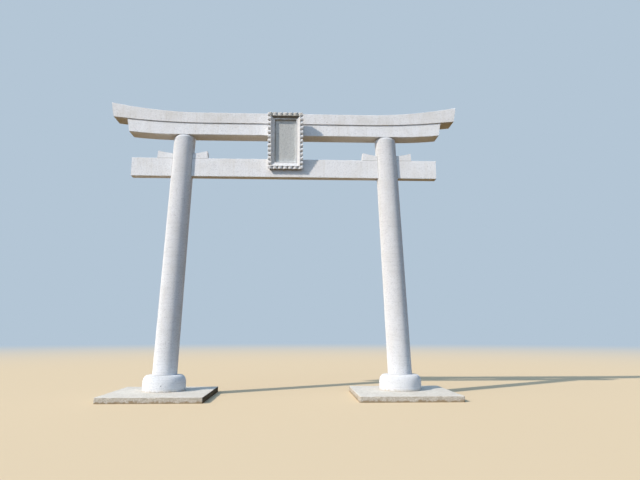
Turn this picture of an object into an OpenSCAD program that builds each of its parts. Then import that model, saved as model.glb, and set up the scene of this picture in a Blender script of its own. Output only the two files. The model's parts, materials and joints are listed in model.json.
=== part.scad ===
// Stone gateway of the curved-lintel kind: two leaning round columns, a tie beam
// that is wedged in them, a two-course curved lintel and a framed tablet.
// X runs along the gate, Y from front (-) to back (+) and Z up. The origin is on
// the ground, in the middle between the columns and of the slabs' depth.
// All sizes are in millimetres.

/* [Overall] */
// Distance between the column axes at their feet
foot_spacing = 6060; // [4500:10:7500]
// Inward lean of each column, in degrees from the vertical
column_lean = 2.5; // [1:0.1:3]
// Height of the lintel's underside above the base stones
column_height = 6350; // [5200:10:7600]
// How far the columns stand behind the middle of their slabs
column_setback = 250; // [0:5:400]

/* [Ground slabs] */
// Width of each concrete slab, along the gate
slab_w = 2470; // [1700:10:2900]
// Depth of each slab, front to back
slab_d = 2600; // [2000:10:3200]
// Height of each slab above the ground
slab_h = 140; // [60:5:200]
// Chamfer round the top of each slab
slab_chamfer = 10; // [4:1:20]

/* [Base stones] */
// Greatest diameter of a base stone
base_d = 1080; // [850:10:1300]
// Height of a base stone
base_h = 392; // [300:2:480]
// Width of the rounded shoulder, seen from above
base_shoulder_w = 124; // [80:2:150]
// Height of the rounded shoulder
base_shoulder_h = 190; // [120:5:240]
// How far the upright side is cut in at its foot
base_foot_cut = 6; // [2:1:12]
// Height of that cut
base_foot_h = 12; // [4:1:20]

/* [Columns] */
// Diameter of a column at its foot
column_foot_d = 620; // [515:1:750]
// Diameter of a column at the lintel, where its taper ends
column_top_d = 566; // [480:5:600]
// Diameter of the flat that carries the lintel
column_seat_d = 450; // [380:5:460]
// Height of the rounded shoulder under the lintel
column_shoulder_h = 100; // [60:5:140]
// Diameter of the tenon that holds the foot in the base stone
tenon_d = 300; // [200:5:400]
// Depth of that tenon
tenon_h = 120; // [60:5:200]
// Gap round the tenon in its socket
socket_gap = 2; // [1:0.5:5]
// Spare depth of the socket under the tenon
socket_spare = 10; // [5:1:20]

/* [Tie beam] */
// Open height between the tie beam and the lower lintel
tie_drop = 626; // [450:2:850]
// Height of the tie beam
tie_h = 506; // [380:2:600]
// Thickness of the tie beam, front to back
tie_d = 238; // [160:2:300]
// How far the tie beam runs past the column axes
tie_overhang = 1353; // [950:5:1750]
// Chamfer along the tie beam's edges
tie_chamfer = 8; // [3:1:15]
// Gap round the tie beam in its mortise, at the front and the back
mortise_gap = 2; // [1:0.5:5]
// Joint between two lengths of the tie beam, inside a column
tie_joint = 0.5; // [0.2:0.1:0.9]

/* [Wedges] */
// How far a wedge stands out of the column at the tie beam's top
wedge_out = 375; // [250:5:480]
// Height of a wedge at its outer end
wedge_outer_h = 204; // [150:2:260]
// Height of a wedge where it enters the column
wedge_mouth_h = 134; // [90:2:150]
// Sag of the wedge's hollow top
wedge_sag = 10; // [0:1:20]
// How far the foot of a wedge's outer end stands out past its top
wedge_batter = 18; // [0:1:30]
// How deep a wedge is driven into the column
wedge_driven = 190; // [120:5:220]
// How much thinner a wedge is than the tie beam
wedge_relief = 4; // [2:1:20]
// Gap over a wedge in the mortise
wedge_gap = 0.5; // [0.2:0.1:0.9]

/* [Lower lintel] */
// Height of the lower lintel in the middle
lower_h = 322; // [260:2:400]
// Depth of the lower lintel, front to back
lower_d = 494; // [470:2:600]
// How far the lower lintel's underside runs past the column axes
lower_overhang = 1454; // [1100:2:1700]
// How far each end of the lower lintel leans out, from its foot to its top
lower_end_lean = 61; // [20:1:120]
// Rise of the underside at its ends
lower_rise = 66; // [20:2:120]
// How far past the column's seat the underside stays level
lower_level_run = 40; // [20:2:90]
// Chamfer along the lintels' edges
lintel_chamfer = 8; // [3:1:15]

/* [Upper lintel] */
// Height of the upper lintel's face in the middle
upper_h = 295; // [240:1:360]
// Depth of the upper lintel, front to back
upper_d = 544; // [500:2:680]
// How far the upper lintel's underside runs past the column axes
upper_overhang = 1880; // [1600:2:2300]
// How far each end of the upper lintel leans out, from its foot to its top
upper_end_lean = 72; // [20:1:140]
// Rise of the joint between the two lintels, reached at the upper one's ends
joint_rise = 142; // [60:2:220]
// Rise of the top edge at its ends
top_rise = 250; // [120:2:320]
// How far inside the column axes the joint and the top edge begin to curve
curve_inset = 553; // [100:1:1200]
// Height of the ridge over the top's front and back edges
ridge_h = 42; // [10:1:90]
// Open joint between the two halves of each lintel
butt_joint = 2; // [1:0.5:6]
// Bed joint between the two lintels
bed_joint = 0.5; // [0.2:0.1:0.8]

/* [Strut] */
// Width of the strut behind the tablet
strut_w = 330; // [200:5:500]
// Depth of the strut, front to back
strut_d = 200; // [120:5:230]

/* [Tablet] */
// Overall width of the tablet
tablet_w = 950; // [800:5:1150]
// Overall height of the tablet, along its own slope
tablet_h = 1503; // [1250:1:1600]
// Overall thickness of the tablet
tablet_t = 175; // [150:1:200]
// Forward lean of the tablet, in degrees from the vertical
tablet_lean = 14.7; // [10:0.1:20]
// How far the tablet's front lower edge stands out of the tie beam's face
tablet_reach = 109; // [90:1:140]
// Level of that edge above the tie beam's underside
tablet_level = 202; // [180:2:280]
// Joint between the tablet's seat and the tie beam's face
seat_joint = 0.5; // [0.2:0.1:0.9]
// Depth of the panel under the frame's crest
panel_recess = 86; // [60:1:100]
// Joint round the panel
panel_joint = 0.5; // [0.2:0.1:0.9]

/* [Tablet frame] */
// Width of the frame, from the panel to the tips of its fingers
frame_w = 186; // [160:2:220]
// Width of the frame's flat inner lip
lip_w = 32; // [16:1:40]
// Height of the lip over the panel
lip_h = 47; // [20:1:55]
// Width of the flat along the frame's crest
crest_w = 8; // [4:1:16]
// Length of a finger, from the crest to its tip
finger_l = 78; // [60:1:90]
// Thickness of a finger, from its front to the groove's bottom
finger_t = 50; // [40:1:60]
// Open width of the groove between two fingers
finger_gap = 16; // [8:1:24]
// Radius of a finger's two corners at its tip
finger_round = 26; // [10:1:30]
// Radius of a finger's front edge at its tip
tip_round = 18; // [6:1:24]
// Height of a finger's domed front
finger_dome = 20; // [6:1:24]
// Number of fingers along each upright side, with those at the corners
side_fingers = 13; // [11:1:14]
// Number of fingers along the top and the bottom, with those at the corners
end_fingers = 7; // [5:1:8]
// How far the frame's body stands back behind the finger tips
body_inset = 14; // [8:1:24]
// The same, at the tablet's back
back_inset = 52; // [30:1:70]

/* [Stays] */
// Diameter of the two bars between the lower lintel and the tablet
stay_d = 32; // [20:1:45]
// Diameter of the bars' foot plates
stay_plate_d = 80; // [60:2:110]
// Thickness of the bars' foot plates
stay_plate_t = 12; // [8:1:20]
// Distance from the middle to each bar and dowel
stay_x = 312; // [305:1:330]
// Height of the bars over the lower lintel's underside
upper_stay_level = 150; // [80:5:220]
// Diameter of the two dowels between the tie beam and the tablet
dowel_d = 30; // [20:1:36]
// Length of a dowel inside the tie beam
dowel_in_beam = 110; // [70:5:130]
// Length of a dowel inside the tablet
dowel_in_tablet = 56; // [40:1:60]
// Height of the dowels over the tablet's lower edge
dowel_level = 56; // [40:1:70]
// Gap round a dowel and at its ends
dowel_gap = 0.5; // [0.2:0.1:0.9]

/* [Hidden] */
$fn = 96;

granite = [0.87, 0.87, 0.86];
pale_granite = [0.92, 0.92, 0.91];
grey_granite = [0.75, 0.76, 0.76];
concrete = [0.72, 0.71, 0.68];
steel = [0.45, 0.46, 0.47];

// Step of the arcs, in degrees, and the spare length of what is cut off again
arc_step = 7.5;
slack = 400;

// Levels, up from the ground
foot_z = slab_h + base_h;
lintel_z = foot_z + column_height;
tie_top_z = lintel_z - tie_drop;
tie_z = tie_top_z - tie_h;
joint_z = lintel_z + lower_h;
crown_z = joint_z + upper_h;

// Column axis and radius at a height
lean_run = tan(column_lean);
function axis_at(z) = foot_spacing / 2 - (z - foot_z) * lean_run;
function radius_at(z) = (column_foot_d + (column_top_d - column_foot_d) * (z - foot_z) / column_height) / 2;
foot_x = axis_at(foot_z);
seat_x = axis_at(lintel_z);
wedge_x = axis_at(tie_top_z);
wedge_r = radius_at(tie_top_z);

// Distances from the middle to where the beams bend and end.
// The lower lintel stays level until it has passed the column's seat.
straight_half = seat_x - curve_inset;
level_half = seat_x + column_seat_d / 2 + lower_level_run;
tie_end = wedge_x + tie_overhang;
lower_foot_end = seat_x + lower_overhang;
lower_top_end = lower_foot_end + lower_end_lean;
upper_foot_end = seat_x + upper_overhang;
upper_top_end = upper_foot_end + upper_end_lean;

// Outlines of the lintels, as heights at the distance x from the middle
function climb(x, from, to, rise) = rise * pow(max(0, x - from) / (to - from), 2);
function under_at(x) = lintel_z + climb(x, level_half, lower_foot_end, lower_rise);
function joint_at(x) = joint_z + climb(x, straight_half, upper_foot_end, joint_rise);
function crown_at(x) = crown_z + climb(x, straight_half, upper_top_end, top_rise);

// Station i of a lintel's half: the butt joint, the start of the curve, then even steps to the end
stations = 15;
function station_x(i, end) =
    i == 0 ? butt_joint / 2 : straight_half + (end - straight_half) * (i - 1) / (stations - 1);

// The tie beam's face, the tablet's lower edge and the level of the dowels in its seat
tie_face_y = column_setback - tie_d / 2;
tablet_z = tie_z + tablet_level;
dowel_z = tablet_z + dowel_level;

// The frame's own section: a runs outwards from the panel, n from the tablet's back to its front
panel_t = tablet_t - panel_recess;
lip_n = panel_t + lip_h;
crest_a = frame_w - finger_l;
shelf_n = tablet_t - finger_t;
body_front_a = frame_w - body_inset;
body_back_a = frame_w - back_inset;

module at_left() {
    mirror([1, 0, 0]) children();
}

// A solid through a row of rings: ring(i) gives the points of station i, counter-clockwise seen from +X
module lofted(sides, ring) {
    points = [for (i = [0 : stations]) each ring(i)];
    walls = [for (i = [0 : stations - 1], j = [0 : sides - 1])
        [(i + 1) * sides + j, (i + 1) * sides + (j + 1) % sides, i * sides + (j + 1) % sides, i * sides + j]];
    start_cap = [for (j = [0 : sides - 1]) j];
    end_cap = [for (j = [sides - 1 : -1 : 0]) stations * sides + j];
    polyhedron(points = points, faces = concat(walls, [start_cap, end_cap]), convexity = 4);
}

// Ground slabs
module ground_slab() {
    bevel = slab_chamfer * sqrt(2);
    color(concrete)
        translate([foot_x, 0, 0])
            difference() {
                translate([-slab_w / 2, -slab_d / 2, 0])
                    cube([slab_w, slab_d, slab_h]);
                for (side = [-1, 1]) {
                    translate([side * slab_w / 2, 0, slab_h])
                        rotate([0, 45, 0])
                            cube([bevel, slab_d + slack, bevel], center = true);
                    translate([0, side * slab_d / 2, slab_h])
                        rotate([45, 0, 0])
                            cube([slab_w + slack, bevel, bevel], center = true);
                }
            }
}

// Base stones: an upright side, a rounded shoulder and a flat top with a socket
module base_stone() {
    r = base_d / 2;
    shoulder = [for (a = [0 : arc_step : 90])
        [r - base_shoulder_w * (1 - cos(a)), base_h - base_shoulder_h * (1 - sin(a))]];
    color(granite)
        translate([foot_x, column_setback, slab_h])
            difference() {
                rotate_extrude()
                    polygon(concat([[0, 0], [r - base_foot_cut, 0], [r, base_foot_h]], shoulder,
                                   [[0, base_h]]));
                translate([0, 0, base_h - tenon_h - socket_spare])
                    cylinder(d = tenon_d + 2 * socket_gap, h = tenon_h + 2 * socket_spare);
            }
}

// Columns: a leaning cone cut level at both ends, with a shoulder under the lintel and a mortise
module column_cone() {
    slope = (column_top_d - column_foot_d) / 2 / column_height;
    translate([foot_x, column_setback, foot_z])
        rotate([0, -column_lean, 0])
            translate([0, 0, -slack])
                cylinder(r1 = column_foot_d / 2 - slope * slack, r2 = column_top_d / 2 + slope * slack,
                         h = column_height + 2 * slack);
}

module column_envelope() {
    wide = foot_x - seat_x + column_foot_d;
    seat_r = column_seat_d / 2;
    top_r = column_top_d / 2 + column_shoulder_h * lean_run;
    shoulder = [for (a = [0 : arc_step : 90])
        [seat_r + (top_r - seat_r) * cos(a), column_height - column_shoulder_h * (1 - sin(a))]];
    translate([seat_x, column_setback, foot_z])
        rotate_extrude()
            polygon(concat([[0, 0], [wide, 0], [wide, column_height - column_shoulder_h]],
                           shoulder, [[0, column_height]]));
}

module column() {
    color(pale_granite) {
        difference() {
            intersection() {
                column_cone();
                column_envelope();
            }
            mortise();
        }
        translate([foot_x, column_setback, foot_z - tenon_h])
            cylinder(d = tenon_d, h = tenon_h + 1);
    }
}

// Tie beam, in three lengths that meet on the column axes; the middle one takes the tablet's dowels
module tie_beam_end() {
    color(granite)
        tie_beam_length(wedge_x + tie_joint / 2, tie_end);
}

module tie_beam_middle() {
    color(granite)
        difference() {
            tie_beam_length(-wedge_x + tie_joint / 2, wedge_x - tie_joint / 2);
            dowel_holes();
        }
}

module tie_beam_length(from, to) {
    c = tie_chamfer;
    h = tie_h;
    d = tie_d / 2;
    translate([from, column_setback, tie_z])
        rotate([90, 0, 90])
            linear_extrude(to - from)
                polygon([[-d + c, 0], [d - c, 0], [d, c], [d, h - c],
                         [d - c, h], [-d + c, h], [-d, h - c], [-d, c]]);
}

// Wedges lie on the tie beam on both sides of a column; out counts from the column axis
module wedge_outline(grow) {
    out = wedge_r + wedge_out;
    tip = wedge_r - wedge_driven;
    slope = (wedge_outer_h - wedge_mouth_h) / wedge_out;
    tip_h = wedge_mouth_h - slope * wedge_driven;
    function top_at(t) = wedge_mouth_h + slope * wedge_out * t - 4 * wedge_sag * t * (1 - t) + grow;
    top = [for (t = [0 : 0.1 : 1]) [wedge_r + wedge_out * t, top_at(t)]];
    polygon(concat([[tip, 0], [tip, tip_h + grow]], top, [[out + wedge_batter, 0]]));
}

module wedge(side) {
    thick = tie_d - wedge_relief;
    color(granite)
        translate([wedge_x, column_setback + thick / 2, tie_top_z])
            rotate([90, 0, 0])
                linear_extrude(thick)
                    mirror([side < 0 ? 1 : 0, 0])
                        wedge_outline(0);
}

module mortise() {
    wide = tie_d + 2 * mortise_gap;
    through = 2 * column_foot_d;
    translate([wedge_x - through / 2, column_setback - wide / 2, tie_z])
        cube([through, wide, tie_h]);
    for (side = [-1, 1])
        translate([wedge_x, column_setback + wide / 2, tie_top_z])
            rotate([90, 0, 0])
                linear_extrude(wide)
                    mirror([side < 0 ? 1 : 0, 0])
                        wedge_outline(wedge_gap);
}

// Lower lintel, one half: level over the column, rising to an end that is cut back at the foot
module lower_lintel() {
    c = lintel_chamfer;
    d = lower_d / 2;
    function ring_at(xf, xt) =
        let (zf = under_at(xf), zt = joint_at(xt), run = (xt - xf) / (zt - zf))
        [for (p = [[-d + c, zf], [d - c, zf], [d, zf + c], [d, zt - c],
                   [d - c, zt], [-d + c, zt], [-d, zt - c], [-d, zf + c]])
            [xf + (p[1] - zf) * run, p[0] + column_setback, p[1]]];
    color(granite)
        lofted(8, function(i) ring_at(station_x(i, lower_foot_end), station_x(i, lower_top_end)));
}

// Upper lintel, one half: its face grows taller to the end, and its top falls from a low ridge
module upper_lintel() {
    c = lintel_chamfer;
    d = upper_d / 2;
    function ring_at(xf, xt) =
        let (zf = joint_at(xf) + bed_joint, zt = crown_at(xt), run = (xt - xf) / (zt - zf))
        [for (p = [[-d + c, zf], [d - c, zf], [d, zf + c], [d, zt - c], [d - c, zt], [0, zt + ridge_h],
                   [-d + c, zt], [-d, zt - c], [-d, zf + c]])
            [xf + (p[1] - zf) * run, p[0] + column_setback, p[1]]];
    color(granite)
        lofted(9, function(i) ring_at(station_x(i, upper_foot_end), station_x(i, upper_top_end)));
}

// Strut between the tie beam and the lower lintel, hidden from the front by the tablet
module strut() {
    color(granite)
        translate([-strut_w / 2, column_setback - strut_d / 2, tie_top_z])
            cube([strut_w, strut_d, lintel_z - tie_top_z]);
}

// The tablet's own frame: x across, z up its slope, the back at y = 0 and the front towards -y.
// Its front lower edge is the place that stays when it leans.
module on_tablet() {
    translate([0, tie_face_y - tablet_reach, tablet_z])
        rotate([tablet_lean, 0, 0])
            translate([0, tablet_t, 0])
                children();
}

// Where the tablet meets the tie beam, its back is cut plumb to make a seat on the beam's face
module seated() {
    difference() {
        children();
        translate([-tablet_w, tie_face_y - seat_joint, tablet_z - slack])
            cube([2 * tablet_w, slack, tablet_h + slack]);
    }
}

module tablet_panel() {
    w = tablet_w - 2 * frame_w - 2 * panel_joint;
    h = tablet_h - 2 * frame_w - 2 * panel_joint;
    color(grey_granite)
        seated()
            on_tablet()
                translate([-w / 2, -panel_t, frame_w + panel_joint])
                    cube([w, panel_t, h]);
}

// One finger of the frame, z outwards from the crest: rounded corners, a rounded tip and a domed front
module finger(width) {
    x = width / 2;
    length = finger_l;
    round_r = min(finger_round, x);
    dome_r = (x * x + finger_dome * finger_dome) / (2 * finger_dome);
    corner = [for (a = [0 : 2 * arc_step : 90])
        [x - round_r + round_r * cos(a), length - round_r + round_r * sin(a)]];
    other_corner = [for (i = [len(corner) - 1 : -1 : 0]) [-corner[i][0], corner[i][1]]];
    tip = [for (a = [0 : 2 * arc_step : 90])
        [length - tip_round + tip_round * cos(a), tablet_t - tip_round + tip_round * sin(a)]];
    start = -crest_w / 2;
    intersection() {
        rotate([90, 0, 0])
            linear_extrude(tablet_t)
                polygon(concat([[x, start]], corner, other_corner, [[-x, start]]));
        translate([-width, 0, 0])
            rotate([90, 0, 90])
                linear_extrude(2 * width)
                    polygon([for (p = concat([[start, shelf_n], [length, shelf_n]], tip, [[start, tablet_t]]))
                        [-p[1], p[0]]]);
        translate([0, dome_r - tablet_t, 2 * start])
            cylinder(r = dome_r, h = 2 * length);
    }
}

// A rail along x with its outer side down, mitred at both ends; half is half of its outer length.
// The first and last finger meet those of the next rails at the mitres and make the corners.
// What hangs below the rail's fingers is given as a child.
module rail(half, fingers) {
    pitch = (2 * half + finger_gap) / fingers;
    finger_w = pitch - finger_gap;
    body = [[0, 0], [body_back_a, 0], [body_front_a, shelf_n], [crest_a, shelf_n], [crest_a, tablet_t],
            [crest_a - crest_w, tablet_t], [lip_w, lip_n], [0, lip_n]];
    intersection() {
        union() {
            translate([-half, 0, frame_w])
                rotate([90, 0, 90])
                    linear_extrude(2 * half)
                        polygon([for (p = body) [-p[1], -p[0]]]);
            for (i = [0 : fingers - 1])
                translate([finger_w / 2 - half + pitch * i, 0, finger_l])
                    mirror([0, 0, 1])
                        finger(finger_w);
            children();
        }
        rotate([90, 0, 0])
            linear_extrude(2 * tablet_t, center = true)
                polygon([[-half - finger_l, -finger_l], [half + finger_l, -finger_l],
                         [half - frame_w, frame_w], [-half + frame_w, frame_w]]);
    }
}

// The tablet's foot: a wedge behind the lower fingers, whose underside is level with their tips
module foot() {
    half = tablet_w / 2 - back_inset;
    overlap = 1;
    function level_at(n) = -(tablet_t - n) * tan(tablet_lean);
    translate([-half, 0, 0])
        rotate([90, 0, 90])
            linear_extrude(2 * half)
                polygon([[-shelf_n, level_at(shelf_n)], [0, level_at(0)],
                         [0, back_inset + overlap], [-shelf_n, body_inset + overlap]]);
}

module frame_bottom_rail() {
    color(pale_granite)
        difference() {
            seated()
                on_tablet()
                    rail(tablet_w / 2, end_fingers)
                        foot();
            dowel_holes();
        }
}

module frame_top_rail() {
    color(pale_granite)
        on_tablet()
            translate([0, 0, tablet_h])
                mirror([0, 0, 1])
                    rail(tablet_w / 2, end_fingers);
}

module frame_side_rail() {
    color(pale_granite)
        seated()
            on_tablet()
                translate([tablet_w / 2, 0, tablet_h / 2])
                    rotate([0, -90, 0])
                        rail(tablet_h / 2, side_fingers);
}

// Upper stays: a round foot plate on the lower lintel's face, and a bar from it to the tablet's back
module upper_stay() {
    z = lintel_z + upper_stay_level;
    face_y = column_setback - lower_d / 2;
    color(steel)
        difference() {
            union() {
                translate([stay_x, face_y, z])
                    rotate([90, 0, 0])
                        cylinder(d = stay_plate_d, h = stay_plate_t, $fn = 48);
                translate([stay_x, face_y, z])
                    rotate([90, 0, 0])
                        cylinder(d = stay_d, h = slack, $fn = 48);
            }
            on_tablet()
                translate([-tablet_w, -tablet_h, -tablet_h])
                    cube([2 * tablet_w, tablet_h, 3 * tablet_h]);
        }
}

// Lower stays: dowels that carry the tablet's seat on the tie beam's face
module dowel(gap) {
    length = dowel_in_beam + seat_joint + dowel_in_tablet;
    translate([stay_x, tie_face_y + dowel_in_beam + gap, dowel_z])
        rotate([90, 0, 0])
            cylinder(d = dowel_d + 2 * gap, h = length + 2 * gap, $fn = 48);
}

module dowel_holes() {
    dowel(dowel_gap);
    at_left() dowel(dowel_gap);
}

module lower_stay() {
    color(steel)
        dowel(0);
}

at_left() ground_slab();  // left_ground_slab
ground_slab();  // right_ground_slab
at_left() base_stone();  // left_base_stone
base_stone();  // right_base_stone
at_left() column();  // left_column
column();  // right_column
at_left() tie_beam_end();  // tie_beam_left_end
tie_beam_middle();
tie_beam_end();  // tie_beam_right_end
at_left() wedge(1);  // left_outer_wedge
at_left() wedge(-1);  // left_inner_wedge
wedge(-1);  // right_inner_wedge
wedge(1);  // right_outer_wedge
at_left() lower_lintel();  // lower_lintel_left
lower_lintel();  // lower_lintel_right
at_left() upper_lintel();  // upper_lintel_left
upper_lintel();  // upper_lintel_right
strut();
tablet_panel();
frame_top_rail();
frame_bottom_rail();
at_left() frame_side_rail();  // frame_left_rail
frame_side_rail();  // frame_right_rail
at_left() upper_stay();  // upper_left_stay
upper_stay();  // upper_right_stay
at_left() lower_stay();  // lower_left_stay
lower_stay();  // lower_right_stay
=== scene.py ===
import json
import math

import bpy
import numpy as np
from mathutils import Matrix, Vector


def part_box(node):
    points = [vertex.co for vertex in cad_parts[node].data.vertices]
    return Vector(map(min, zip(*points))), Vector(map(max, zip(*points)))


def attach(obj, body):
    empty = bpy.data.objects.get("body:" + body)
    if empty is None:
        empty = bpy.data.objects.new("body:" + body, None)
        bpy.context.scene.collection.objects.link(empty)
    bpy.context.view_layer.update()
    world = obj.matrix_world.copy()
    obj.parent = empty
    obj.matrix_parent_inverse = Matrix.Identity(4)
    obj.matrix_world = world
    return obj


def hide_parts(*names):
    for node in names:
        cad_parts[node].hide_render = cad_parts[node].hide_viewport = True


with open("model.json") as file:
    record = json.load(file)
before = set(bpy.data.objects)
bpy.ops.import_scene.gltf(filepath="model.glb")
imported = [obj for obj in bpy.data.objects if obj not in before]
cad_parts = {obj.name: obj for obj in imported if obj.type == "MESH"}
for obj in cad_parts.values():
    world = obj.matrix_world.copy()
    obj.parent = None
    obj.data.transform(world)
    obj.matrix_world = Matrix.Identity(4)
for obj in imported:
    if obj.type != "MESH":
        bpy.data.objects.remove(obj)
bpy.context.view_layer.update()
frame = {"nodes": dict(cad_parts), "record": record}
nodes = frame["nodes"]

MM = 0.001

# Sizes of the gate that its pieces' boxes don't give
COLUMN_FOOT_R = 310 * MM
COLUMN_TOP_R = 283 * MM
COLUMN_HEIGHT = 6350 * MM
COLUMN_LEAN = math.radians(2.5)
WEDGE_MOUTH_H = 134 * MM
LOWER_LINTEL_H = 322 * MM
UPPER_LINTEL_H = 295 * MM
RIDGE_H = 42 * MM
STAY_PLATE_T = 12 * MM
STAY_R = 16 * MM
PANEL_T = 89 * MM
TABLET_LEAN = math.radians(14.7)

# Places that several pieces share
slab_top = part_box("left_ground_slab")[1][2]
base_low, base_high = (np.array(corner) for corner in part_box("right_base_stone"))
column_x, column_y = (base_low[:2] + base_high[:2]) / 2
column_foot_z = base_high[2]
tie_low, tie_high = (np.array(corner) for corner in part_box("tie_beam_middle"))

# The sign of X on each side of the gate, and of the way from a column's axis to each of its walls, where 1
# leads away from the gate's middle
SIDES = {"left": -1, "right": 1}
WALLS = {"outer": 1, "inner": -1}

# What tools, weather and the ground leave on granite, with the algae colour that also paints shade on faces
# looking down
TOOLED_GREY = "#a3a4a6"
DUST = "#b3ad9e"
ALGAE_AND_SHADE = "#4e4532"
KNOT = "#55585c"
SPLASHED_MUD = "#b5a68c"

# Concrete: two shades of paste, sand, the float's spots, stones, soil, and the soil and painted shade of the
# right side
PASTE = ("#e4dfd5", "#dcd6cb")
SAND = "#99917f"
FLOAT_SPOTS = "#bab4a8"
STONES = "#a09277"
SOIL = "#9a8461"
SOIL_AND_SHADE = "#5c503a"


# Colours and nodes


def srgb(code):
    """An sRGB hex colour as linear red, green, blue and alpha."""
    parts = [int(code[i:i + 2], 16) / 255 for i in (1, 3, 5)]
    return [c / 12.92 if c <= 0.04045 else ((c + 0.055) / 1.055) ** 2.4 for c in parts] + [1.0]


def emptied(holder):
    """A material or a world, with its node tree emptied."""
    holder.use_nodes = True
    holder.node_tree.nodes.clear()
    return holder


def add(holder, kind, links=None, values=None, **settings):
    """Adds a node. settings are its properties, values its sockets' constants, and links their sources."""
    node = holder.node_tree.nodes.new(kind)
    for key, value in settings.items():
        setattr(node, key, value)
    for socket, value in (values or {}).items():
        node.inputs[socket].default_value = value
    for socket, source in (links or {}).items():
        holder.node_tree.links.new(source, node.inputs[socket])
    return node


# Finishes


def granite(name, feldspar, quartz, mica, stain, stained, streaked, dusted, algae_and_shade, pitted, roughness,
            scatter=0.0, turned=0.0, soil=0.0, knot=None, shade_range=(-0.35, -1.0)):
    """Granite: crystals of three minerals, stained in blotches and streaks, and dressed with a hammer.

    stained, streaked, dusted and algae_and_shade say how strongly blotches, rain streaks, the dust on upward
    faces and the darkening of downward ones colour it. That darkening is partly algae and partly painted
    shade.
    shade_range is how far down a face looks, as its normal's Z, where that darkening starts and where it is
    full. pitted is the depth of the tool's pits in metres, and scatter the shader's diffuse roughness.
    turned is the strength of the tooled lines round a round piece, soil how high mud has splashed, and knot
    the place of a dark knot.
    """
    material = emptied(bpy.data.materials.new(name))
    place = add(material, "ShaderNodeTexCoord").outputs["Object"]

    # Crystals are drawn 7 mm across, coarser than the real 3 to 5 mm, so that they show
    cells = add(material, "ShaderNodeTexVoronoi", {"Vector": place}, {"Scale": 1 / (7 * MM)})
    pick = add(material, "ShaderNodeSeparateColor", {"Color": cells.outputs["Color"]}).outputs[0]
    is_quartz = add(material, "ShaderNodeMapRange", {"Value": pick}, {"From Min": 0.68, "From Max": 0.72})
    is_mica = add(material, "ShaderNodeMapRange", {"Value": pick}, {"From Min": 0.95, "From Max": 0.96})
    minerals = add(material, "ShaderNodeMix", {0: is_quartz.outputs[0]},
                   {6: srgb(feldspar), 7: srgb(quartz)}, data_type="RGBA")
    minerals = add(material, "ShaderNodeMix", {0: is_mica.outputs[0], 6: minerals.outputs[2]},
                   {7: srgb(mica)}, data_type="RGBA")

    # Cloudy differences between one part of a block and the next
    clouds = add(material, "ShaderNodeTexNoise", {"Vector": place}, {"Scale": 1 / (420 * MM), "Detail": 5.0})
    blotch = add(material, "ShaderNodeMapRange", {"Value": clouds.outputs[0]},
                 {"From Min": 0.42, "From Max": 0.72, "To Max": stained})
    coloured = add(material, "ShaderNodeMix", {0: blotch.outputs[0], 6: minerals.outputs[2]},
                   {7: srgb(stain)}, data_type="RGBA")

    # Rain leaves faint upright streaks, about 50 mm apart
    stretched = add(material, "ShaderNodeMapping", {"Vector": place},
                    {"Scale": (1 / (50 * MM), 1 / (50 * MM), 1 / (1300 * MM))})
    rain = add(material, "ShaderNodeTexNoise", {"Vector": stretched.outputs[0]},
               {"Scale": 1.0, "Detail": 3.0})
    streak = add(material, "ShaderNodeMapRange", {"Value": rain.outputs[0]},
                 {"From Min": 0.5, "From Max": 0.75, "To Max": streaked})
    coloured = add(material, "ShaderNodeMix", {0: streak.outputs[0], 6: coloured.outputs[2]},
                   {7: srgb(stain)}, data_type="RGBA")

    # The tool went round the round pieces in level lines, about 35 mm apart
    if turned:
        flattened = add(material, "ShaderNodeMapping", {"Vector": place},
                        {"Scale": (1 / (900 * MM), 1 / (900 * MM), 1 / (35 * MM))})
        lines = add(material, "ShaderNodeTexNoise", {"Vector": flattened.outputs[0]},
                    {"Scale": 1.0, "Detail": 2.0})
        line = add(material, "ShaderNodeMapRange", {"Value": lines.outputs[0]},
                   {"From Min": 0.5, "From Max": 0.7, "To Max": turned})
        coloured = add(material, "ShaderNodeMix", {0: line.outputs[0], 6: coloured.outputs[2]},
                       {7: srgb(TOOLED_GREY)}, data_type="RGBA")

    # Dust and lichen lie in patches on faces that look upwards
    facing = add(material, "ShaderNodeNewGeometry").outputs["Normal"]
    upward = add(material, "ShaderNodeSeparateXYZ", {"Vector": facing}).outputs[2]
    patches = add(material, "ShaderNodeTexNoise", {"Vector": place}, {"Scale": 1 / (90 * MM), "Detail": 6.0})
    lying = add(material, "ShaderNodeMapRange", {"Value": upward},
                {"From Min": 0.75, "From Max": 0.97, "To Max": dusted})
    patchy = add(material, "ShaderNodeMapRange", {"Value": patches.outputs[0]},
                 {"From Min": 0.3, "From Max": 0.65})
    dusty = add(material, "ShaderNodeMath", {0: lying.outputs[0], 1: patchy.outputs[0]},
                operation="MULTIPLY")
    coloured = add(material, "ShaderNodeMix", {0: dusty.outputs[0], 6: coloured.outputs[2]},
                   {7: srgb(DUST)}, data_type="RGBA")

    # Faces that look down are darkened towards the algae's colour: partly algae, and partly painted shade
    under = add(material, "ShaderNodeMapRange", {"Value": upward},
                {"From Min": shade_range[0], "From Max": shade_range[1], "To Max": algae_and_shade})
    coloured = add(material, "ShaderNodeMix", {0: under.outputs[0], 6: coloured.outputs[2]},
                   {7: srgb(ALGAE_AND_SHADE)}, data_type="RGBA")

    # A dark knot, 25 mm across, shows in the front of the left base stone
    if knot:
        distance = add(material, "ShaderNodeVectorMath", {0: place}, {1: knot}, operation="DISTANCE")
        spot = add(material, "ShaderNodeMapRange", {"Value": distance.outputs["Value"]},
                   {"From Min": 18 * MM, "From Max": 8 * MM, "To Max": 0.85})
        coloured = add(material, "ShaderNodeMix", {0: spot.outputs[0], 6: coloured.outputs[2]},
                       {7: srgb(KNOT)}, data_type="RGBA")

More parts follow.
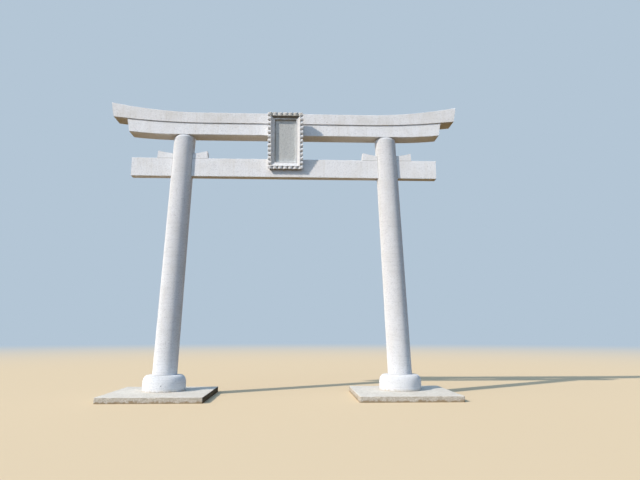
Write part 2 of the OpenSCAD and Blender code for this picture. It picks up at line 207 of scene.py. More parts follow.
    # Rain has splashed mud from the slab on the foot of the stone
    if soil:
        height = add(material, "ShaderNodeSeparateXYZ", {"Vector": place}).outputs[2]
        splash = add(material, "ShaderNodeMapRange", {"Value": height},
                     {"From Min": slab_top + soil, "From Max": slab_top, "To Max": 0.8})
        splash = add(material, "ShaderNodeMath", {0: splash.outputs[0], 1: patchy.outputs[0]},
                     operation="MULTIPLY")
        coloured = add(material, "ShaderNodeMix", {0: splash.outputs[0], 6: coloured.outputs[2]},
                       {7: srgb(SPLASHED_MUD)}, data_type="RGBA")

    # The hammer leaves pits 6 mm apart, on faces that aren't quite flat
    uneven = add(material, "ShaderNodeTexNoise", {"Vector": place}, {"Scale": 1 / (80 * MM), "Detail": 2.0})
    pits = add(material, "ShaderNodeTexNoise", {"Vector": place}, {"Scale": 1 / (6 * MM), "Detail": 2.0})
    bend = add(material, "ShaderNodeBump", {"Height": uneven.outputs[0]}, {"Distance": 1.0 * MM})
    bend = add(material, "ShaderNodeBump", {"Height": pits.outputs[0], "Normal": bend.outputs[0]},
               {"Distance": pitted})
    shader = add(material, "ShaderNodeBsdfPrincipled",
                 {"Base Color": coloured.outputs[2], "Normal": bend.outputs[0]},
                 {"Roughness": roughness, "Diffuse Roughness": scatter, "IOR": 1.54,
                  "Specular IOR Level": 0.15})
    add(material, "ShaderNodeOutputMaterial", {"Surface": shader.outputs[0]})
    return material


def cast_concrete():
    """Concrete, floated on top and cast against earth: sandy, clouded, brown with soil at its foot."""
    material = emptied(bpy.data.materials.new("floated_concrete"))
    place = add(material, "ShaderNodeTexCoord").outputs["Object"]
    height = add(material, "ShaderNodeSeparateXYZ", {"Vector": place}).outputs[2]

    # Cement paste with clouds half a metre wide, and sand grains 4 mm across
    clouds = add(material, "ShaderNodeTexNoise", {"Vector": place}, {"Scale": 1 / (480 * MM), "Detail": 6.0})
    cloudy = add(material, "ShaderNodeMapRange", {"Value": clouds.outputs[0]},
                 {"From Min": 0.35, "From Max": 0.68})
    paste = add(material, "ShaderNodeMix", {0: cloudy.outputs[0]}, {6: srgb(PASTE[0]), 7: srgb(PASTE[1])},
                data_type="RGBA")
    sand = add(material, "ShaderNodeTexVoronoi", {"Vector": place}, {"Scale": 1 / (4 * MM)})
    grain = add(material, "ShaderNodeSeparateColor", {"Color": sand.outputs["Color"]}).outputs[0]
    dark = add(material, "ShaderNodeMapRange", {"Value": grain},
               {"From Min": 0.8, "From Max": 0.82, "To Max": 0.5})
    sandy = add(material, "ShaderNodeMix", {0: dark.outputs[0], 6: paste.outputs[2]}, {7: srgb(SAND)},
                data_type="RGBA")

    # Mottled by the float and by footprints, in spots 110 mm wide
    spots = add(material, "ShaderNodeTexNoise", {"Vector": place}, {"Scale": 1 / (110 * MM), "Detail": 5.0})
    spotted = add(material, "ShaderNodeMapRange", {"Value": spots.outputs[0]},
                  {"From Min": 0.45, "From Max": 0.62, "To Max": 0.3})
    sandy = add(material, "ShaderNodeMix", {0: spotted.outputs[0], 6: sandy.outputs[2]},
                {7: srgb(FLOAT_SPOTS)}, data_type="RGBA")

    # The sides are darker and browner than the top, with stones 25 mm across near the surface
    side = add(material, "ShaderNodeMapRange", {"Value": height},
               {"From Min": slab_top - 3 * MM, "From Max": slab_top - 16 * MM, "To Max": 0.6})
    stones = add(material, "ShaderNodeTexNoise", {"Vector": place}, {"Scale": 1 / (25 * MM), "Detail": 4.0})
    stony = add(material, "ShaderNodeMapRange", {"Value": stones.outputs[0]},
                {"From Min": 0.35, "From Max": 0.6})
    rough = add(material, "ShaderNodeMath", {0: side.outputs[0], 1: stony.outputs[0]}, operation="MULTIPLY")
    walled = add(material, "ShaderNodeMix", {0: rough.outputs[0], 6: sandy.outputs[2]}, {7: srgb(STONES)},
                 data_type="RGBA")

    # Soil clings to the foot in a ragged band, 5 to 75 mm high
    ragged = add(material, "ShaderNodeTexNoise", {"Vector": place}, {"Scale": 1 / (110 * MM), "Detail": 5.0})
    tide = add(material, "ShaderNodeMapRange", {"Value": ragged.outputs[0]},
               {"From Min": 0.3, "From Max": 0.7, "To Min": 5 * MM, "To Max": 75 * MM})
    under = add(material, "ShaderNodeMath", {0: tide.outputs[0], 1: height}, operation="SUBTRACT")
    muddy = add(material, "ShaderNodeMapRange", {"Value": under.outputs[0]},
                {"From Min": -14 * MM, "From Max": 22 * MM, "To Max": 0.8})
    soiled = add(material, "ShaderNodeMix", {0: muddy.outputs[0], 6: walled.outputs[2]}, {7: srgb(SOIL)},
                 data_type="RGBA")

    # The right side, which the sun doesn't reach, is darkened: some soil, and mostly painted shade
    facing = add(material, "ShaderNodeNewGeometry").outputs["Normal"]
    rightward = add(material, "ShaderNodeSeparateXYZ", {"Vector": facing}).outputs[0]
    soil_and_shade = add(material, "ShaderNodeMapRange", {"Value": rightward},
               {"From Min": 0.4, "From Max": 0.9, "To Max": 0.85})
    soiled = add(material, "ShaderNodeMix", {0: soil_and_shade.outputs[0], 6: soiled.outputs[2]},
                 {7: srgb(SOIL_AND_SHADE)}, data_type="RGBA")

    # Stones and sand stand out a little from the paste
    bend = add(material, "ShaderNodeBump", {"Height": stones.outputs[0]}, {"Distance": 1.2 * MM})
    bend = add(material, "ShaderNodeBump", {"Height": sand.outputs["Distance"], "Normal": bend.outputs[0]},
               {"Distance": 0.7 * MM})
    shader = add(material, "ShaderNodeBsdfPrincipled",
                 {"Base Color": soiled.outputs[2], "Normal": bend.outputs[0]},
                 {"Roughness": 0.93, "IOR": 1.5, "Specular IOR Level": 0.15})
    add(material, "ShaderNodeOutputMaterial", {"Surface": shader.outputs[0]})
    return material


def galvanised_steel():
    """Hot-dipped steel: dull zinc in patches 15 mm wide, each a slightly different grey."""
    material = emptied(bpy.data.materials.new("galvanised_steel"))
    place = add(material, "ShaderNodeTexCoord").outputs["Object"]
    spangle = add(material, "ShaderNodeTexVoronoi", {"Vector": place}, {"Scale": 1 / (15 * MM)})
    patch = add(material, "ShaderNodeSeparateColor", {"Color": spangle.outputs["Color"]}).outputs[0]
    zinc = add(material, "ShaderNodeMix", {0: patch}, {6: srgb("#8d9092"), 7: srgb("#a7aaab")},
               data_type="RGBA")
    gloss = add(material, "ShaderNodeMapRange", {"Value": patch}, {"To Min": 0.45, "To Max": 0.62})
    shader = add(material, "ShaderNodeBsdfPrincipled",
                 {"Base Color": zinc.outputs[2], "Roughness": gloss.outputs[0]}, {"Metallic": 1.0})
    add(material, "ShaderNodeOutputMaterial", {"Surface": shader.outputs[0]})
    return material


def cement_mortar():
    """Pointed cement mortar: matt grey, darker than the stone, and grainy."""
    material = emptied(bpy.data.materials.new("cement_mortar"))
    place = add(material, "ShaderNodeTexCoord").outputs["Object"]
    grains = add(material, "ShaderNodeTexNoise", {"Vector": place}, {"Scale": 1 / (4 * MM), "Detail": 3.0})
    grey = add(material, "ShaderNodeMix", {0: grains.outputs[0]}, {6: srgb("#7d7b76"), 7: srgb("#a5a39c")},
               data_type="RGBA")
    bend = add(material, "ShaderNodeBump", {"Height": grains.outputs[0]}, {"Distance": 0.6 * MM})
    shader = add(material, "ShaderNodeBsdfPrincipled",
                 {"Base Color": grey.outputs[2], "Normal": bend.outputs[0]}, {"Roughness": 0.95})
    add(material, "ShaderNodeOutputMaterial", {"Surface": shader.outputs[0]})
    return material


def painted_corner_shade():
    """Painted shade for a shaded corner: nearly black, matt and crumbly."""
    material = emptied(bpy.data.materials.new("painted_corner_shade"))
    place = add(material, "ShaderNodeTexCoord").outputs["Object"]
    crumbs = add(material, "ShaderNodeTexNoise", {"Vector": place}, {"Scale": 1 / (9 * MM), "Detail": 3.0})
    brown = add(material, "ShaderNodeMix", {0: crumbs.outputs[0]}, {6: srgb("#2b2925"), 7: srgb("#4a463d")},
                data_type="RGBA")
    bend = add(material, "ShaderNodeBump", {"Height": crumbs.outputs[0]}, {"Distance": 1.0 * MM})
    shader = add(material, "ShaderNodeBsdfPrincipled",
                 {"Base Color": brown.outputs[2], "Normal": bend.outputs[0]}, {"Roughness": 1.0})
    add(material, "ShaderNodeOutputMaterial", {"Surface": shader.outputs[0]})
    return material


# Surfaces


def waves(points, size, seed, count=28):
    """Smooth noise, mostly within -1 to 1: a sum of sine waves in random directions, about size long."""
    random = np.random.default_rng(seed)
    directions = random.normal(size=(count, 3))
    directions /= np.linalg.norm(directions, axis=1)[:, None]
    lengths = size * random.uniform(0.7, 1.6, count)
    phases = random.uniform(0, 2 * np.pi, count)
    turns = 2 * np.pi * points @ (directions / lengths[:, None]).T + phases
    return np.sin(turns).sum(axis=-1) / math.sqrt(2 * count)


def mesh_piece(name, points, faces, material, replaced=(), smooth=True):
    """A piece from its points and faces, which rides on the gate."""
    mesh = bpy.data.meshes.new(name)
    mesh.from_pydata(points.tolist(), [], faces)
    mesh.polygons.foreach_set("use_smooth", np.full(len(mesh.polygons), smooth))
    mesh.materials.append(material)
    piece = bpy.data.objects.new(name, mesh)
    bpy.context.scene.collection.objects.link(piece)
    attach(piece, "root")
    if replaced:
        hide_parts(*replaced)
    return piece


def ring_faces(rows, columns, closed=False):
    """Quads between rings of points. Each ring's last point joins its first.

    closed joins the last ring to the first one too. Seen from outside, a ring runs to the right and the
    next ring lies above it.
    """
    row = np.arange(rows if closed else rows - 1)[:, None]
    column = np.arange(columns)[None, :]
    above = (row + 1) % rows
    beside = (column + 1) % columns
    quads = np.stack([row * columns + column, row * columns + beside, above * columns + beside,
                      above * columns + column], axis=-1)
    return quads.reshape(-1, 4).tolist()


def slab_piece(node, material, seed):
    """A cast slab with rough sides and a chipped edge.

    A profile is carried round a rectangle. At the distance d inside the edge, a point lies on the path of a
    square of half side 1, times the rectangle's half sides less d. A high power norm rounds that path's
    corners. Noise pushes the sides inwards, and deeper along the upper edge where it is chipped.
    """
    low, high = (np.array(corner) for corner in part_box(node))
    centre = (low + high) / 2
    half = (high - low)[:2] / 2
    top = high[2]
    steps = 300
    corner_power = 150
    edge_r = 7 * MM
    side_rows = 14
    top_rows = 22

    # The path: a square with slightly rounded corners, each side cut into steps
    t = np.arange(4 * steps) / steps
    along = 2 * (t % 1) - 1
    ones = np.ones_like(along)
    side = t.astype(int)
    square = np.stack([np.choose(side, [along, ones, -along, -ones]),
                       np.choose(side, [-ones, along, ones, -along])], axis=-1)
    path = square / (np.abs(square) ** corner_power).sum(axis=1, keepdims=True) ** (1 / corner_power)

    # The profile: in under the slab, up its side, round its upper edge and in over its top
    turn = np.linspace(0, math.pi / 2, 6)
    inside = np.concatenate([[half.min() * 0.5, 3 * MM], np.zeros(side_rows),
                             edge_r * (1 - np.cos(turn))[1:],
                             np.geomspace(12 * MM, half.min() * 0.96, top_rows)])
    height = np.concatenate([[0, 0], np.linspace(0, top - edge_r, side_rows),
                             top - edge_r + edge_r * np.sin(turn)[1:],
                             np.full(top_rows, top)])
    points = np.zeros((len(inside), len(path), 3))
    points[..., :2] = centre[:2] + (half - inside[:, None, None]) * path
    points[..., 2] = height[:, None]

    # The sides are rough, which dies out over the top's first 60 mm. The underside moves with them.
    rough = 2.2 * MM * (1 + waves(points, 170 * MM, seed))
    rough += 1.5 * MM * (1 + waves(points, 50 * MM, seed + 1))
    rough += 0.9 * MM * (1 + waves(points, 20 * MM, seed + 2))
    side_share = np.clip(1 - inside / (60 * MM), 0, 1)[:, None]
    side_share[:2] = 1

    # Chips lie within about 17 mm of the upper edge, where the noise is over a threshold
    below_edge = top - edge_r - height
    from_edge = np.where(below_edge > 0, below_edge, inside)[:, None]
    chipped = np.clip(waves(points * [1, 1, 0.2], 240 * MM, seed + 3) - 0.42, 0, 0.5) * 26 * MM
    chipped *= np.exp(-(from_edge / (17 * MM)) ** 2) * (1 + 0.5 * waves(points, 30 * MM, seed + 4))
    push = np.clip(rough, 0, None) * side_share + chipped
    points[..., :2] -= push[..., None] * path

    # The float left the top in shallow waves
    floated = 1.0 * MM * (1 + waves(points, 600 * MM, seed + 5))
    floated += 0.4 * MM * (1 + waves(points, 90 * MM, seed + 6))
    sunk = np.clip(floated, 0, None) * (height / top)[:, None] + 0.8 * chipped
    points[..., 2] -= np.where(height[:, None] > top / 2, sunk, 0)

    # A fan of triangles round a point in the middle closes the underside, and another one the top
    rows, columns = points.shape[:2]
    middles = [[centre[0], centre[1], 0], [centre[0], centre[1], top - 2 * MM]]
    column = np.arange(columns)
    beside = (column + 1) % columns
    last = (rows - 1) * columns
    faces = ring_faces(rows, columns)
    faces += np.stack([np.full(columns, rows * columns), beside, column], axis=-1).tolist()
    faces += np.stack([np.full(columns, rows * columns + 1), last + column, last + beside], axis=-1).tolist()
    points = np.concatenate([points.reshape(-1, 3), middles])
    return mesh_piece(node + "_cast", points, faces, material, [node])


def bead(name, path, radius, across, material, closed=True):
    """A round bead along a path: rings across the path, whose first axis is near to across.

    An open path's end rings shrink to nearly nothing, so that they close the bead.
    """
    sides = 10
    across = np.array(across, float)
    if closed:
        along = np.roll(path, -1, axis=0) - np.roll(path, 1, axis=0)
    else:
        path = np.concatenate([path[:1], path, path[-1:]])
        along = np.gradient(path, axis=0)
        along[0] = along[1]
        along[-1] = along[-2]
        radius = np.full((len(path), 1, 1), radius)
        radius[[0, -1]] = 0.1 * MM
    along /= np.linalg.norm(along, axis=1, keepdims=True)
    first = across - (along @ across)[:, None] * along
    first /= np.linalg.norm(first, axis=1, keepdims=True)
    second = np.cross(along, first)
    turn = (2 * np.pi * np.arange(sides) / sides)[None, :, None]
    rings = path[:, None] + radius * (np.cos(turn) * first[:, None] + np.sin(turn) * second[:, None])
    faces = ring_faces(len(path), sides, closed)
    if not closed:
        last = (len(path) - 1) * sides
        faces += [tuple(range(sides))[::-1], tuple(range(last, last + sides))]
    return mesh_piece(name, rings.reshape(-1, 3), faces, material)


def circle(centre, radius, z, count=160):
    """Points round a level circle."""
    turn = 2 * np.pi * np.arange(count) / count
    return np.stack([centre[0] + radius * np.cos(turn), centre[1] + radius * np.sin(turn),
                     np.full(count, z)], axis=-1)


def rectangle_path(low, high):
    """The two coordinates of a path round a rectangle, from two opposite corners: 24 points a side."""
    corners = np.array([low, (high[0], low[1]), high, (low[0], high[1])])
    share = np.linspace(0, 1, 24, endpoint=False)[:, None]
    return np.concatenate([a + (b - a) * share for a, b in zip(corners, np.roll(corners, -1, axis=0))]).T


def prism(name, outline, start, end, material):
    """A closed bar along X: an outline of Y and Z, counter-clockwise seen from +X, at two places."""
    outline = np.array(outline)
    count = len(outline)
    rings = np.array([np.column_stack([np.full(count, x), outline]) for x in (start, end)])
    faces = ring_faces(2, count)
    faces += [tuple(range(count))[::-1], tuple(range(count, 2 * count))]
    return mesh_piece(name, rings.reshape(-1, 3), faces, material, smooth=False)


def revolved(profile, centre, sides, first):
    """Points and faces of a body that stands out to -Y: a profile of radius and reach, carried round Y.

    Its last ring and its first one close it. first is the number of its first point in the mesh.
    """
    turn = 2 * np.pi * np.arange(sides) / sides
    radius, reach = np.array(profile).T[:, :, None]
    rings = np.stack([centre[0] + radius * np.cos(turn), centre[1] - reach + 0 * turn,
                      centre[2] + radius * np.sin(turn)], axis=-1)
    numbers = first + np.arange(len(profile) * sides).reshape(-1, sides)
    faces = (first + np.array(ring_faces(len(profile), sides))).tolist()
    faces += [numbers[-1].tolist(), numbers[0][::-1].tolist()]
    return rings.reshape(-1, 3), faces


# Joints, fixings and painted corner shade


def column_foot_joint(side):
    """Mortar round a column's foot: a bead on a level circle."""
    path = circle((SIDES[side] * column_x, column_y), COLUMN_FOOT_R + 1 * MM, column_foot_z)
    bead(side + "_column_foot_joint", path, 4 * MM, (0, 0, 1), mortar)


def mouth_joint(side, where):
    """Mortar round the mouth where the tie beam and its wedge enter a column.

    The bead's path goes round a rectangle of Y and Z. X is the column's axis at that height plus or minus
    half the chord of the column's circle at that Y.
    """
    y, z = rectangle_path(tie_low[1:], (tie_high[1], tie_high[2] + WEDGE_MOUTH_H))
    rise = z - column_foot_z
    radius = COLUMN_FOOT_R + (COLUMN_TOP_R - COLUMN_FOOT_R) * rise / COLUMN_HEIGHT
    axis = column_x - rise * math.tan(COLUMN_LEAN)
    x = axis + WALLS[where] * np.sqrt(radius ** 2 - (y - column_y) ** 2)
    path = np.stack([SIDES[side] * x, y, z], axis=-1)
    bead("%s_%s_mouth_joint" % (side, where), path, 4.5 * MM, (1, 0, 0), mortar)


def plate_fixings(side):
    """Three bolts' washers and heads on a stay's plate, and the weld round its bar.

    Each is a profile carried round an axis along Y. The weld's profile is a hollow quarter circle.
    """
    low, high = (np.array(corner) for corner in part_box("upper_%s_stay" % side))
    centre = np.array([(low[0] + high[0]) / 2, high[1] - STAY_PLATE_T, (low[2] + high[2]) / 2])
    washer_r = 7 * MM
    washer_t = 1.6 * MM
    head_r = 5.5 * MM
    head_h = 7 * MM
    ring_r = 29 * MM
    weld_r = 6 * MM
    washer = [(washer_r, 0), (washer_r, washer_t), (head_r, washer_t)]
    head = [(head_r, washer_t), (head_r, head_h - 1 * MM), (head_r - 1.2 * MM, head_h)]
    turn = np.linspace(0, math.pi / 2, 5)
    weld = np.column_stack([STAY_R + weld_r * (1 - np.sin(turn)), weld_r * (1 - np.cos(turn))])
    bodies = []
    for number in range(3):
        angle = math.radians(90 + 120 * number)
        place = centre + ring_r * np.array([math.cos(angle), 0, math.sin(angle)])
        bodies += [(washer, place, 20), (head, place, 6)]
    bodies.append((weld, centre, 32))
    points = np.zeros((0, 3))
    faces = []
    for profile, place, sides in bodies:
        body_points, body_faces = revolved(profile, place, sides, len(points))
        points = np.concatenate([points, body_points])
        faces += body_faces
    mesh_piece("upper_%s_stay_fixings" % side, points, faces, steel, smooth=False)


def wedge_seam(side, where):
    """Mortar round a wedge's foot, in the notch that the beam's chamfer leaves.

    The bead's path is a level rectangle from 20 mm inside the column to the wedge's free end.
    """
    seam_r = 5 * MM
    seam_z = tie_high[2] - 3 * MM
    hidden = 20 * MM
    outward = SIDES[side] * WALLS[where]
    low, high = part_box("%s_%s_wedge" % (side, where))
    axis = SIDES[side] * (column_x - (seam_z - column_foot_z) * math.tan(COLUMN_LEAN))
    start = axis + outward * (COLUMN_TOP_R - hidden)
    end = high[0] if outward > 0 else low[0]
    x, y = rectangle_path((start, tie_low[1] + seam_r), (end, tie_high[1] - seam_r))
    path = np.column_stack([x, y, np.full(len(x), seam_z)])
    bead("%s_%s_wedge_seam" % (side, where), path, seam_r, (0, 0, 1), mortar)


def panel_corner_shade_bead():
    """A nearly black bead along the panel's left and top edges: painted shade in the corner that the frame's
    lip shades.

    The bead runs straight up the leaning panel's left edge, and then along its top one.
    """
    low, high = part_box("tablet_panel")
    shade_r = 7 * MM
    top_z = high[2] - PANEL_T * math.sin(TABLET_LEAN)
    foot_y = low[1] + (top_z - low[2]) * math.tan(TABLET_LEAN)
    upward = np.array([0, -math.sin(TABLET_LEAN), math.cos(TABLET_LEAN)])
    outward = (0, -math.cos(TABLET_LEAN), -math.sin(TABLET_LEAN))
    foot = np.array([low[0] + shade_r, foot_y, low[2]])
    corner = np.array([low[0] + shade_r, low[1], top_z]) - shade_r * upward
    end = corner + np.array([high[0] - low[0] - 2 * shade_r, 0, 0])
    share = np.linspace(0, 1, 40)[:, None]
    edge = np.concatenate([foot + (corner - foot) * share[:-1], corner + (end - corner) * share])
    bead("panel_corner_painted_shade", edge, shade_r, outward, corner_shade, closed=False)


def lintel_joint(course, height, ridge=0):
    """Mortar in the open joint in the middle of a lintel's course, a little behind its faces.

    It is the course's cross-section there, 2 mm wide. ridge is the rise of the upper course's top.
    """
    recess = 5 * MM
    joint_half = 1 * MM
    low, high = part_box(course + "_lintel_left")
    front = low[1] + recess
    back = high[1] - recess
    foot = low[2] + recess
    top = low[2] + height - recess
    peak = [(column_y, top + ridge)] if ridge else []
    outline = [(front, foot), (back, foot), (back, top), *peak, (front, top)]
    prism(course + "_lintel_joint", outline, -joint_half, joint_half, mortar)


# Materials

# White granite that a fine bush hammer has dressed: matt and bright, with grains that show from near
beam_granite = granite("hammered_beam_granite", "#f0f1f3", "#dfe1e4", "#8e8f92", "#d3cfc7", stained=0.35,
                       streaked=0.25, dusted=0.5, algae_and_shade=0.1, pitted=0.5 * MM, roughness=0.88)
# The top course has stood in the rain, so it is a little greyer and warmer
top_granite = granite("weathered_top_granite", "#ececed", "#dadada", "#8c8a88", "#cac6bd", stained=0.4,
                      streaked=0.3, dusted=0.6, algae_and_shade=0.15, pitted=0.5 * MM, roughness=0.9)
# The columns are dressed finer, so that their light turns softly. The left one has a whiter copy of the
# stone: painted light that brightens it.
left_column_whitened_granite = granite("left_column_whitened_granite", "#f0f1f3", "#e2e4e7", "#939598", "#d7d4cd",
                              stained=0.25, streaked=0.2, dusted=0.3, algae_and_shade=0.1, pitted=0.3 * MM,
                              roughness=0.8, scatter=0.7, turned=0.15)
column_granite = granite("right_column_granite", "#e9eaec", "#dadcdf", "#8c8e91", "#d0cdc6", stained=0.25,
                         streaked=0.2, dusted=0.3, algae_and_shade=0.1, pitted=0.3 * MM, roughness=0.8,
                         scatter=0.7, turned=0.15)
# The base stones are cleaner, but for the mud at their feet. The left one has a whiter copy of the stone,
# painted light, and a knot.
base_r = (base_high[0] - base_low[0]) / 2
knot_turn = math.radians(3.8)
knot_place = (-column_x + base_r * math.sin(knot_turn), column_y - base_r * math.cos(knot_turn),
              slab_top + 152 * MM)
left_base_whitened_granite = granite("left_base_whitened_granite", "#edeef0", "#dfe1e4", "#8d8f91", "#d2cfc8", stained=0.25,
                            streaked=0.1, dusted=0.1, algae_and_shade=0.0, pitted=0.3 * MM, roughness=0.8,
                            scatter=0.5, turned=0.25, soil=70 * MM, knot=knot_place)
base_granite = granite("right_base_granite", "#e2e3e5", "#d3d5d8", "#888a8c", "#c7c4bd", stained=0.25,
                       streaked=0.1, dusted=0.1, algae_and_shade=0.0, pitted=0.3 * MM, roughness=0.8, scatter=0.5,
                       turned=0.25, soil=70 * MM)
# The carved frame is honed smooth. Its faces that look down, between and under its fingers, are darkened
# fully: painted shade
frame_granite = granite("honed_frame_granite", "#edeef0", "#dddfe2", "#8d8f92", "#ccc8bd", stained=0.35,
                        streaked=0.2, dusted=0.4, algae_and_shade=1.0, pitted=0.2 * MM, roughness=0.75,
                        shade_range=(-0.72, -0.93))
# Moss has stained its top rail, where rain stands, olive brown. Its faces that look down, such as its inner
# slope, are darkened as well: painted shade
moss_and_shade_granite = granite("moss_and_shade_frame_granite", "#e9eae9", "#d9dad8", "#8b8d8a", "#a09a84", stained=0.6,
                        streaked=0.6, dusted=0.9, algae_and_shade=1.0, pitted=0.2 * MM, roughness=0.75,
                        shade_range=(-0.35, -0.8))
# A whiter, less stained copy of the frame's stone paints light on its bottom and right rails. The foot's
# underside, which looks straight down, gets painted shade
whitened_rail_granite = granite("whitened_frame_granite", "#f1f2f3", "#e3e5e8", "#949699", "#dcd9d2", stained=0.15,
                         streaked=0.1, dusted=0.1, algae_and_shade=1.0, pitted=0.2 * MM, roughness=0.75,
                         shade_range=(-0.9, -0.96))
# The panel is a greyer stone with darker mica, sawn and honed
panel_granite = granite("honed_panel_granite", "#dde1e1", "#bfc4c5", "#5a5e62", "#c9cbc4", stained=0.2,
                        streaked=0.1, dusted=0.2, algae_and_shade=0.0, pitted=0.2 * MM, roughness=0.7)
concrete = cast_concrete()
steel = galvanised_steel()
mortar = cement_mortar()
corner_shade = painted_corner_shade()

slot_materials = {"concrete": concrete, "base_granite": base_granite, "column_granite": column_granite,
                  "beam_granite": beam_granite, "top_granite": top_granite, "panel_granite": panel_granite,
                  "frame_granite": frame_granite, "steel": steel}
own_materials = {"left_column": left_column_whitened_granite, "left_base_stone": left_base_whitened_granite,
                 "frame_top_rail": moss_and_shade_granite, "frame_bottom_rail": whitened_rail_granite,
                 "frame_right_rail": whitened_rail_granite}
for subpart in frame["record"]["subparts"]:
    name = subpart["node"]
    for slot in nodes[name].material_slots:
        slot.material = own_materials.get(name, slot_materials[subpart["material_slot"]])

# Pieces

slab_piece("left_ground_slab", concrete, seed=11)
slab_piece("right_ground_slab", concrete, seed=47)
for side in SIDES:
    column_foot_joint(side)
    for where in WALLS:
        mouth_joint(side, where)
    plate_fixings(side)
for side in SIDES:
    for where in WALLS:
        wedge_seam(side, where)
panel_corner_shade_bead()
lintel_joint("lower", LOWER_LINTEL_H)
lintel_joint("upper", UPPER_LINTEL_H, RIDGE_H)

# Stage

# The floor as the camera sees it, and the tan that it throws back on the gate, which colours the
# undersides. The floor fades into the backdrop between two distances in metres.
BACKDROP = "#b4c6d6"
FLOOR_SHOWN = "#dcc8a8"
FLOOR_BOUNCE = "#80663c"
FADE_START = 12.0
FADE_END = 70.0
FLOOR_HALF_W = 250
FLOOR_FRONT = -60
FLOOR_BACK = 400

# Where light comes from, or doesn't: the key up on the left in front, the dim side at the right and behind,
# the far left, and a faint light up on the left behind
KEY = (-0.686, -0.437, 0.582)
DIM_SIDE = (0.9, 0.44, 0.0)
FAR_LEFT = (-0.97, 0.24, 0.0)
BEHIND = (-0.41, 0.86, 0.3)

# The fill's light, as linear red, green, blue and alpha: low down and high up, on the bright side and the
# dim one, then from the far left, from the haze round the key, and from behind
LOW_BRIGHT = (0.35, 0.62, 0.95, 1.0)
LOW_DIM = (0.10, 0.09, 0.11, 1.0)
HIGH_BRIGHT = (0.32, 0.58, 0.90, 1.0)
HIGH_DIM = (0.23, 0.32, 0.45, 1.0)
FAR_LEFT_LIGHT = (0.10, 0.14, 0.20, 1.0)
HAZE_LIGHT = (0.95, 0.98, 0.97, 1.0)
BEHIND_LIGHT = (0.4, 0.43, 0.47, 1.0)


def shown(holder):
    """1 for rays from the camera, in gloss and through glass, and 0 for those that light the gate."""
    rays = add(holder, "ShaderNodeLightPath")
    seen = add(holder, "ShaderNodeMath",
               {0: rays.outputs["Is Camera Ray"], 1: rays.outputs["Is Glossy Ray"]}, operation="ADD")
    seen = add(holder, "ShaderNodeMath", {0: seen.outputs[0], 1: rays.outputs["Is Transmission Ray"]},
               operation="ADD", use_clamp=True)
    return seen.outputs[0]


floor_mesh = bpy.data.meshes.new("floor")
floor_corners = [(-FLOOR_HALF_W, FLOOR_FRONT, 0), (FLOOR_HALF_W, FLOOR_FRONT, 0),
                 (FLOOR_HALF_W, FLOOR_BACK, 0), (-FLOOR_HALF_W, FLOOR_BACK, 0)]
floor_mesh.from_pydata(floor_corners, [], [(0, 1, 2, 3)])
floor = bpy.data.objects.new("floor", floor_mesh)
bpy.context.scene.collection.objects.link(floor)

finish = emptied(bpy.data.materials.new("pale_floor"))
seen = shown(finish)
tone = add(finish, "ShaderNodeMix", {0: seen}, {6: srgb(FLOOR_BOUNCE), 7: srgb(FLOOR_SHOWN)},
           data_type="RGBA")
matt = add(finish, "ShaderNodeBsdfDiffuse", {"Color": tone.outputs[2]})
glow = add(finish, "ShaderNodeEmission", values={"Color": srgb(BACKDROP)})
place = add(finish, "ShaderNodeTexCoord").outputs["Object"]
reach = add(finish, "ShaderNodeVectorMath", {0: place}, operation="LENGTH")
far = add(finish, "ShaderNodeMapRange", {"Value": reach.outputs["Value"]},
          {"From Min": FADE_START, "From Max": FADE_END}, interpolation_type="SMOOTHSTEP")
faded = add(finish, "ShaderNodeMath", {0: far.outputs[0], 1: seen}, operation="MULTIPLY")
blend = add(finish, "ShaderNodeMixShader", {0: faded.outputs[0], 1: matt.outputs[0], 2: glow.outputs[0]})
add(finish, "ShaderNodeOutputMaterial", {"Surface": blend.outputs[0]})
floor.data.materials.append(finish)

# A soft blue fill, weaker on the dim side and from the far left, where it would clip the columns' left
# sides, with a bright haze round the key and a faint light from behind, which shows the back. Each light
# fades in between two limits, of the way's height or of the cosine of its angle to that light.
world = emptied(bpy.data.worlds.new("studio"))
bpy.context.scene.world = world
way = add(world, "ShaderNodeTexCoord").outputs["Generated"]
up = add(world, "ShaderNodeSeparateXYZ", {"Vector": way}).outputs[2]
raised = add(world, "ShaderNodeMapRange", {"Value": up}, {"From Min": 0.1, "From Max": 0.95},
             interpolation_type="SMOOTHSTEP")
aside = add(world, "ShaderNodeVectorMath", {0: way}, {1: DIM_SIDE}, operation="DOT_PRODUCT")
shaded = add(world, "ShaderNodeMapRange", {"Value": aside.outputs["Value"]},
             {"From Min": -0.5, "From Max": 0.8}, interpolation_type="SMOOTHSTEP")
low = add(world, "ShaderNodeMix", {0: shaded.outputs[0]}, {6: LOW_BRIGHT, 7: LOW_DIM}, data_type="RGBA")
high = add(world, "ShaderNodeMix", {0: shaded.outputs[0]}, {6: HIGH_BRIGHT, 7: HIGH_DIM}, data_type="RGBA")
fill = add(world, "ShaderNodeMix", {0: raised.outputs[0], 6: low.outputs[2], 7: high.outputs[2]},
           data_type="RGBA")
beside = add(world, "ShaderNodeVectorMath", {0: way}, {1: FAR_LEFT}, operation="DOT_PRODUCT")
beside = add(world, "ShaderNodeMapRange", {"Value": beside.outputs["Value"]},
             {"From Min": 0.2, "From Max": 0.85}, interpolation_type="SMOOTHSTEP")
fill = add(world, "ShaderNodeMix", {0: beside.outputs[0], 6: fill.outputs[2]}, {7: FAR_LEFT_LIGHT},
           data_type="RGBA")
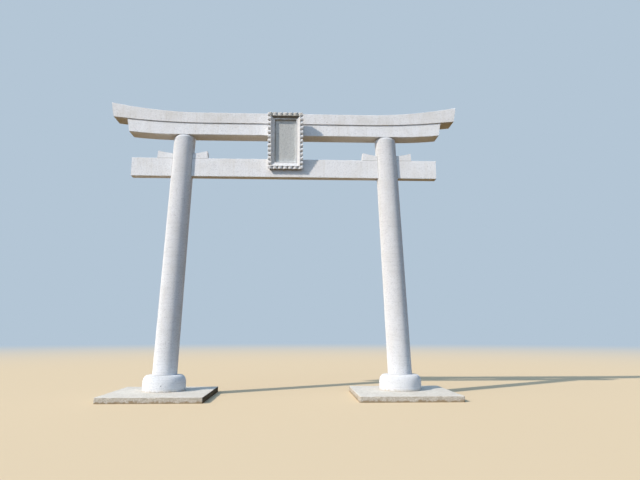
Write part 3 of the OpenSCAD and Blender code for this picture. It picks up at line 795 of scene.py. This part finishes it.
near = add(world, "ShaderNodeVectorMath", {0: way}, {1: KEY}, operation="DOT_PRODUCT")
haze = add(world, "ShaderNodeMapRange", {"Value": near.outputs["Value"]},
           {"From Min": 0.75, "From Max": 1.0}, interpolation_type="SMOOTHSTEP")
fill = add(world, "ShaderNodeMix", {0: haze.outputs[0], 6: fill.outputs[2]}, {7: HAZE_LIGHT},
           data_type="RGBA", blend_type="ADD")
behind = add(world, "ShaderNodeVectorMath", {0: way}, {1: BEHIND}, operation="DOT_PRODUCT")
behind = add(world, "ShaderNodeMapRange", {"Value": behind.outputs["Value"]},
             {"From Min": 0.6, "From Max": 1.0}, interpolation_type="SMOOTHSTEP")
fill = add(world, "ShaderNodeMix", {0: behind.outputs[0], 6: fill.outputs[2]}, {7: BEHIND_LIGHT},
           data_type="RGBA", blend_type="ADD")
fill = add(world, "ShaderNodeMix", {0: shown(world), 6: fill.outputs[2]}, {7: srgb(BACKDROP)},
           data_type="RGBA")
sky = add(world, "ShaderNodeBackground", {"Color": fill.outputs[2]}, {"Strength": 1.0})
add(world, "ShaderNodeOutputWorld", {"Surface": sky.outputs[0]})

# One warm key from the upper left
sun = bpy.data.lights.new("key", "SUN")
sun.energy = 3.8
sun.color = (1.0, 0.89, 0.78)
sun.angle = math.radians(1.5)
key = bpy.data.objects.new("key", sun)
key.rotation_euler = Vector(KEY).to_track_quat("Z", "Y").to_euler()
bpy.context.scene.collection.objects.link(key)

# The camera stands where the photograph was taken from, 1.6 m above the ground, and looks up
EYE = (0.315, -14.602, 1.617)
LOOK_UP = math.radians(9.305)
LOOK_RIGHT = math.radians(2.435)
camera = bpy.data.cameras.new("camera")
camera.sensor_width = 36
camera.lens = 31.5
camera.clip_end = 1000
view = bpy.data.objects.new("camera", camera)
view.location = EYE
view.rotation_euler = (math.radians(90) + LOOK_UP, 0, -LOOK_RIGHT)
bpy.context.scene.collection.objects.link(view)
bpy.context.scene.camera = view
bpy.context.scene.view_settings.view_transform = "Standard"
